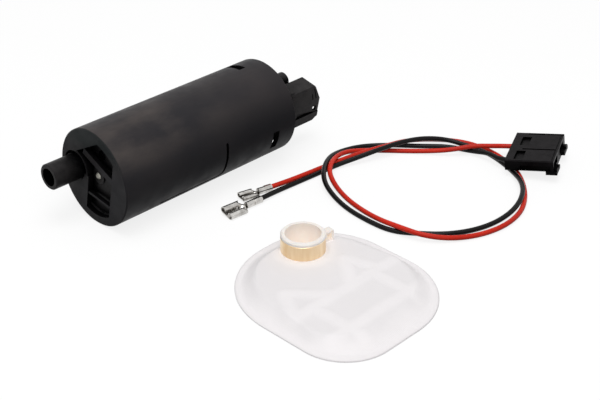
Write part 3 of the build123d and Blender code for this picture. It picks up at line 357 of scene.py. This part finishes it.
def fleece():
    """Bonded polyamide mesh: fine crossing threads, paler over the inner frame partly as painted shade in the
    open cells, paler on its slopes as painted light, and with a painted glow at its rim.
    """
    mat, tree, shader = material("fleece", (0.80, 0.78, 0.78), 0.75)
    # The stored paleness: partly the frame showing through, partly painted shade in the cells and painted
    # light on the slopes
    paleness_with_painted_light = tree.nodes.new("ShaderNodeAttribute")
    paleness_with_painted_light.attribute_name = "paleness_with_painted_light"
    paleness = combine(tree, "ADD", spread(tree, noise(tree, 120), -0.05, 0.05), paleness_with_painted_light.outputs["Fac"])
    colour = blend(tree, paleness, (0.750, 0.727, 0.735), (0.90, 0.872, 0.880))
    tree.links.new(colour, shader.inputs["Base Color"])
    coordinates = object_coordinates(tree)
    threads = []
    for direction in ("X", "Y"):
        wave = tree.nodes.new("ShaderNodeTexWave")
        wave.bands_direction = direction
        wave.inputs["Scale"].default_value = 420
        wave.inputs["Distortion"].default_value = 1.5
        wave.inputs["Detail Scale"].default_value = 2.0
        tree.links.new(coordinates, wave.inputs["Vector"])
        threads.append(wave.outputs["Fac"])
    bump(tree, shader, combine(tree, "MAXIMUM", *threads), 0.25, 0.00008)
    shader.inputs["Sheen Weight"].default_value = 0.1
    # Painted glow: light emitted at the fleece's rim, low by the floor
    painted_glow_in_hollows(tree, shader, (1.0, 0.97, 0.98), 0.40, 0.3, 0.7, reach=0.002)
    return mat


FINISHES = {
    "black_plastic": sleeve_plastic(),
    "natural_plastic": nylon(),
    # For the cover and plug plastics, hollows is the colour of their painted shade in recesses
    "cover_plastic": plain("cover_plastic", (0.019, 0.0178, 0.0182), (0.029, 0.027, 0.0275), 0.34,
                           gloss=0.05, hollows=(0.0008, 0.0008, 0.001)),
    "plug_plastic": plain("plug_plastic", (0.005, 0.0042, 0.0048), (0.009, 0.0075, 0.0085), 0.36,
                          gloss=0.03, hollows=(0.0005, 0.0005, 0.0006)),
    "rotor_plastic": plain("rotor_plastic", (0.08, 0.055, 0.035), (0.12, 0.085, 0.055), 0.5),
    "steel_can": plain("can_steel", (0.48, 0.48, 0.49), (0.62, 0.62, 0.63), 0.32, 1.0, stretch=(1, 8, 8)),
    "pin_steel": plain("ground_steel", (0.26, 0.255, 0.22), (0.36, 0.35, 0.31), 0.50, 1.0, stretch=(1, 6, 6)),
    "core_steel": plain("core_steel", (0.22, 0.22, 0.24), (0.34, 0.34, 0.36), 0.4, 1.0, grain=2500,
                        stretch=(8, 1, 1)),
    "bronze": plain("bronze", (0.42, 0.26, 0.12), (0.55, 0.36, 0.19), 0.45, 1.0, scale=900),
    "copper": plain("copper", (0.60, 0.24, 0.12), (0.75, 0.36, 0.19), 0.3, 1.0, scale=900, grain=2800),
    "brass": plain("brass", (0.78, 0.57, 0.33), (0.93, 0.76, 0.53), 0.34, 1.0, scale=260, grain=700,
                   depth=0.00001, stretch=(1, 1, 0.12)),
    "tin": plain("tin", (0.40, 0.385, 0.365), (0.66, 0.645, 0.62), 0.27, 1.0, scale=420),
    "magnet": plain("ferrite", (0.03, 0.03, 0.034), (0.055, 0.055, 0.06), 0.6),
    "carbon": plain("carbon", (0.018, 0.018, 0.018), (0.035, 0.035, 0.035), 0.55, scale=1500),
    "rubber": plain("rubber", (0.010, 0.010, 0.010), (0.018, 0.018, 0.018), 0.65),
    "wire_red": plain("red_insulation", (0.48, 0.018, 0.008), (0.60, 0.027, 0.012), 0.34, scale=60,
                      gloss=0.12),
    "wire_black": plain("black_insulation", (0.003, 0.0026, 0.0027), (0.006, 0.005, 0.0052), 0.28, scale=60,
                        gloss=0.14),
}

for subpart in frame["record"]["subparts"]:
    node, finish = subpart["node"], subpart["material_slot"]
    if node.startswith("lead_connector"):
        finish = "plug_plastic"
    if finish in FINISHES:
        nodes[node].data.materials.clear()
        nodes[node].data.materials.append(FINISHES[finish])
black.data.materials.append(FINISHES["wire_black"])
red.data.materials.append(FINISHES["wire_red"])
fleece_finish = fleece()


# Fleece
bag_low, bag_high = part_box("strainer_fleece_lower")
bag_middle = (bag_low + bag_high) / 2
bag_size = bag_high - bag_low
band_low, band_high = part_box("strainer_band")
neck_at = (band_low + band_high) / 2
neck_radius = (band_high.x - band_low.x) / 2 - BAND_WALL * MM


def rounded_outline(count):
    """Points round the strainer's outline, measured from its middle, anticlockwise and evenly spaced."""
    half_x, half_y = bag_size.x / 2 / MM, bag_size.y / 2 / MM
    sides = ((-1, -1), (1, -1), (1, 1), (-1, 1))
    starts = (180, 270, 0, 90)
    fine = []
    for (side_x, side_y), radius, start in zip(sides, BAG_CORNERS, starts):
        centre = Vector((side_x * (half_x - radius), side_y * (half_y - radius)))
        for step in range(CORNER_STEPS + 1):
            angle = radians(start + 90 * step / CORNER_STEPS)
            fine.append(centre + Vector((cos(angle), sin(angle))) * radius)
    fine.append(fine[0])
    lengths = [0.0]
    for a, b in zip(fine, fine[1:]):
        lengths.append(lengths[-1] + (b - a).length)
    points = []
    at = 0
    for k in range(count):
        want = lengths[-1] * k / count
        while lengths[at + 1] < want:
            at += 1
        share = (want - lengths[at]) / (lengths[at + 1] - lengths[at])
        points.append(fine[at].lerp(fine[at + 1], share) * MM)
    return points


def smooth(t):
    """0 up to 0, 1 from 1 on, and an even turn between them."""
    t = min(max(t, 0.0), 1.0)
    return t * t * (3 - 2 * t)


def distance_to_rib(p, rib):
    """Millimetres from a point to a rib's middle line."""
    start, end = Vector(rib[0]), Vector(rib[1])
    run = end - start
    share = min(max((p - start).dot(run) / run.length_squared, 0), 1)
    return (p - start - run * share).length


def support(at, neck_centre):
    """1 where a rib or the neck's ring holds the fleece up, falling to 0 a few millimetres beside it."""
    p = Vector((at.x / MM + SLEEVE_LEN / 2, at.y / MM))
    nearest = min(distance_to_rib(p, rib) for rib in FRAME_RIBS)
    on_rib = smooth(1 - (nearest - RIB_HALF) / RIB_FADE)
    on_ring = smooth(1 - ((at - neck_centre).length / MM - NECK_RING) / NECK_FADE)
    return max(on_rib, on_ring)


def upper_form(at, reach, neck_centre):
    """The upper fleece's height and paleness at a point that is reach millimetres from its rim."""
    rise = smooth((reach - WELD_WIDTH) / RISE_WIDTH)
    near = support(at, neck_centre)
    edge = WELD_TOP - EDGE_DROP * (1 - smooth(reach / EDGE_WIDTH))
    height = edge + (BAG_HEIGHT - WELD_TOP) * rise - CELL_SAG * rise * (1 - near)
    # The slope term is painted light against the slopes' shade; over the ribs the paleness partly stands for
    # painted shade in the open cells
    paleness = RIB_PALER * near * rise + WELD_PALER * (1 - rise) + SLOPE_PAINTED_LIGHT * 4 * rise * (1 - rise)
    return height, paleness


def fleece_layer(name, on_top):
    """One layer of the strainer's mesh, from the neck's hole or a point under it out to the rim's weld."""
    middle = Vector((bag_middle.x, bag_middle.y))
    neck_centre = Vector((neck_at.x, neck_at.y))
    inner_radius = neck_radius if on_top else CAP_RADIUS * MM
    outline = rounded_outline(SPOKES)
    mesh = bpy.data.meshes.new(name)
    build = bmesh.new()
    rows = []
    paleness_with_painted_light = []
    for ring in range(RINGS + 1):
        row = []
        for rim in outline:
            rim_at = middle + rim
            inner = neck_centre + (rim_at - neck_centre).normalized() * inner_radius
            at = inner.lerp(rim_at, ring / RINGS)
            height, paleness = UNDERSIDE, WELD_PALER
            if on_top:
                height, paleness = upper_form(at, (rim_at - at).length / MM, neck_centre)
            paleness_with_painted_light.append(paleness)
            row.append(build.verts.new((at.x, at.y, TABLE + height * MM)))
        rows.append(row)
    for low, high in zip(rows, rows[1:]):
        for k in range(SPOKES):
            following = (k + 1) % SPOKES
            build.faces.new((low[k], high[k], high[following], low[following]))
    if not on_top:
        build.faces.new(rows[0])
    build.to_mesh(mesh)
    build.free()
    mesh.attributes.new("paleness_with_painted_light", "FLOAT", "POINT").data.foreach_set("value", paleness_with_painted_light)
    mesh.shade_smooth()
    piece = bpy.data.objects.new(name, mesh)
    bpy.context.scene.collection.objects.link(piece)
    thick = piece.modifiers.new("thickness", "SOLIDIFY")
    thick.thickness = FLEECE_THICK * MM
    thick.offset = -1 if on_top else 1
    piece.data.materials.append(fleece_finish)
    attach(piece, "pump")
    return piece


upper = fleece_layer("upper_fleece", True)
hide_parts("strainer_fleece_upper")
lower = fleece_layer("lower_fleece", False)
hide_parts("strainer_fleece_lower")


# Light and floor
def seen(tree):
    """1 for rays that show the background: to the camera, off a glossy surface or through a clear one."""
    rays = tree.nodes.new("ShaderNodeLightPath").outputs
    mirrored = combine(tree, "MAXIMUM", rays["Is Camera Ray"], rays["Is Glossy Ray"])
    return combine(tree, "MAXIMUM", mirrored, rays["Is Transmission Ray"])


def lamp(name, place, watts):
    """A soft square lamp turned to the object."""
    data = bpy.data.lights.new(name, "AREA")
    data.size = LAMP_SIZE
    data.energy = watts
    light = bpy.data.objects.new(name, data)
    light.location = place
    light.rotation_euler = (Vector(LAMPS_AIM) - Vector(place)).to_track_quat("-Z", "Y").to_euler()
    bpy.context.scene.collection.objects.link(light)


lamp("key", (-0.10, -0.12, 0.95), 5.0)
lamp("fill", (-0.46, -0.58, 0.72), 2.2)

world = bpy.data.worlds.new("world")
bpy.context.scene.world = world
world.use_nodes = True
sky = world.node_tree
background = sky.nodes["Background"].inputs
background["Color"].default_value = (1, 1, 1, 1)
sky.links.new(spread(sky, seen(sky), WORLD_STRENGTH, 1, 0, 1), background["Strength"])

paper, paper_tree, paper_shader = material("paper", (FLOOR_COLOUR,) * 3, 1.0, gloss=0.0)
paper_shader.inputs["Emission Color"].default_value = (1, 1, 1, 1)
floor_glow = combine(paper_tree, "MULTIPLY", seen(paper_tree), FLOOR_GLOW)
paper_tree.links.new(floor_glow, paper_shader.inputs["Emission Strength"])

floor_mesh = bpy.data.meshes.new("floor")
floor_corners = [(x * FLOOR_HALF, y * FLOOR_HALF, TABLE) for x, y in ((-1, -1), (1, -1), (1, 1), (-1, 1))]
floor_mesh.from_pydata(floor_corners, [], [(0, 1, 2, 3)])
floor_mesh.materials.append(paper)
floor = bpy.data.objects.new("floor", floor_mesh)
bpy.context.scene.collection.objects.link(floor)

bpy.context.scene.view_settings.view_transform = "Standard"
